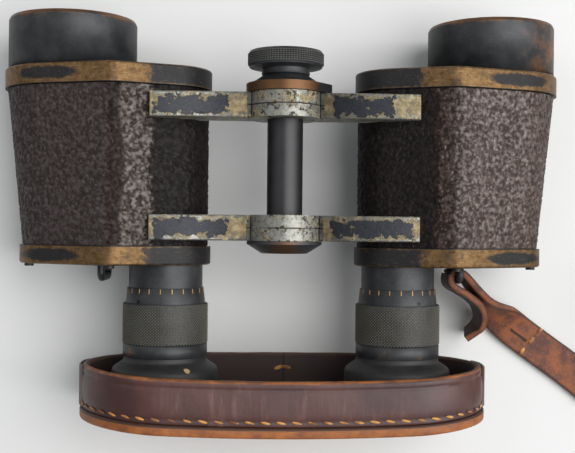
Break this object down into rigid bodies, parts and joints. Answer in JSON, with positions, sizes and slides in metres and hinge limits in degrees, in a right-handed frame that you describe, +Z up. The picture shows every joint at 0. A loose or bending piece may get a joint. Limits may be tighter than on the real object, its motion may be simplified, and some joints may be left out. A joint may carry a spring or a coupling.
{
  "type": "prism binoculars",
  "caption": "Old leather-covered prism field glass with a clamping centre hinge, turning eyepieces, a loose leather rain guard and a leather neck strap",
  "frame": {"origin": "on the table under the middle of the glass, with the hinge axis over x = 0", "axes": "+X across the pair to the right barrel, +Y towards the objectives, +Z up from the table"},
  "size_m": [0.2563, 0.1283, 0.048],
  "materials": {
    "worn_brass": "black lacquer worn through to brown brass on the edges",
    "black_brass": "black lacquer on brass, satin, rubbed on the edges",
    "painted_alloy": "grey cast alloy with flaking blue-black paint",
    "body_leather": "coarse pebbled dark brown leather, shiny on the high grain",
    "guard_leather": "smooth red-brown leather, creased, tan at the cut edges",
    "strap_leather": "rusty brown strap leather, dry and cracked",
    "optical_glass": "clear polished glass",
    "ebonite": "black hard rubber, satin, worn brown on the rim",
    "spring_steel": "darkened steel",
    "bare_alloy": "cast, blackened inside"
  },
  "bodies": {
    "right_barrel": {"right_prism_housing": "painted_alloy", "right_leather_cover": "body_leather", "right_objective_cover_plate": "worn_brass", "right_eyepiece_cover_plate": "worn_brass", "right_objective_tube": "black_brass", "right_objective_cell": "black_brass", "right_objective_lock_ring": "black_brass", "right_objective_crown_lens": "optical_glass", "right_objective_flint_lens": "optical_glass", "right_objective_prism": "optical_glass", "right_eyepiece_prism": "optical_glass", "right_prism_shelf": "bare_alloy", "right_prism_clips": "spring_steel", "right_eyepiece_tube": "black_brass", "right_cover_screws": "spring_steel", "right_strap_lug": "spring_steel", "neck_strap": "strap_leather", "strap_tail": "strap_leather", "neck_strap_roll": "strap_leather", "strap_tie": "strap_leather"},
    "left_barrel": {"left_prism_housing": "painted_alloy", "left_leather_cover": "body_leather", "left_objective_cover_plate": "worn_brass", "left_eyepiece_cover_plate": "worn_brass", "left_objective_tube": "black_brass", "left_objective_cell": "black_brass", "left_objective_lock_ring": "black_brass", "left_objective_crown_lens": "optical_glass", "left_objective_flint_lens": "optical_glass", "left_objective_prism": "optical_glass", "left_eyepiece_prism": "optical_glass", "left_prism_shelf": "bare_alloy", "left_prism_clips": "spring_steel", "left_eyepiece_tube": "black_brass", "left_cover_screws": "spring_steel", "left_strap_lug": "spring_steel"},
    "hinge_pin": {"hinge_axle": "spring_steel", "hinge_tube": "black_brass", "hinge_end_cap": "black_brass", "index_plate": "worn_brass", "clamp_washer": "black_brass"},
    "hinge_clamp": {"clamp_knob": "black_brass"},
    "rain_guard": {"rain_guard_wall": "guard_leather", "rain_guard_sole": "guard_leather", "rain_guard_loops": "guard_leather"},
    "left_ocular": {"left_ocular_cell": "black_brass", "left_field_lens": "optical_glass", "left_eye_lens": "optical_glass"},
    "left_focus": {"left_focus_ring": "black_brass", "left_eyecup": "ebonite"},
    "right_ocular": {"right_ocular_cell": "black_brass", "right_field_lens": "optical_glass", "right_eye_lens": "optical_glass"},
    "right_focus": {"right_focus_ring": "black_brass", "right_eyecup": "ebonite"}
  },
  "joints": [
    {"name": "fold_right", "type": "hinge", "parent": "right_barrel", "child": "hinge_pin", "pos_m": [0, 0, 0.037], "axis": [0, 1, 0], "range_deg": [-11.6, 7.4]},
    {"name": "fold_left", "type": "hinge", "parent": "hinge_pin", "child": "left_barrel", "pos_m": [0, 0, 0.037], "axis": [0, 1, 0], "range_deg": [-11.6, 7.4]},
    {"name": "clamp_turn", "type": "hinge", "parent": "hinge_pin", "child": "hinge_clamp", "pos_m": [0, 0, 0.037], "axis": [0, 1, 0], "range_deg": [0, 180]},
    {"name": "rain_guard_slide", "type": "slide", "parent": "hinge_pin", "child": "rain_guard", "axis": [0, -1, 0], "range_m": [0, 0.03]},
    {"name": "left_focus_travel", "type": "slide", "parent": "left_barrel", "child": "left_ocular", "axis": [0, 1, 0], "range_m": [-0.0004, 0.0036]},
    {"name": "left_focus_turn", "type": "hinge", "parent": "left_ocular", "child": "left_focus", "pos_m": [-0.0332, 0, 0.025], "axis": [0, 1, 0], "range_deg": [-30, 270]},
    {"name": "right_focus_travel", "type": "slide", "parent": "right_barrel", "child": "right_ocular", "axis": [0, 1, 0], "range_m": [-0.0004, 0.0036]},
    {"name": "right_focus_turn", "type": "hinge", "parent": "right_ocular", "child": "right_focus", "pos_m": [0.0332, 0, 0.025], "axis": [0, 1, 0], "range_deg": [-30, 270]}
  ],
  "couplings": [
    {"joint": "fold_left", "follows": "fold_right", "ratio": 1},
    {"joint": "left_focus_turn", "follows": "left_focus_travel", "rad_per_m": 1309},
    {"joint": "right_focus_turn", "follows": "right_focus_travel", "rad_per_m": 1309}
  ]
}
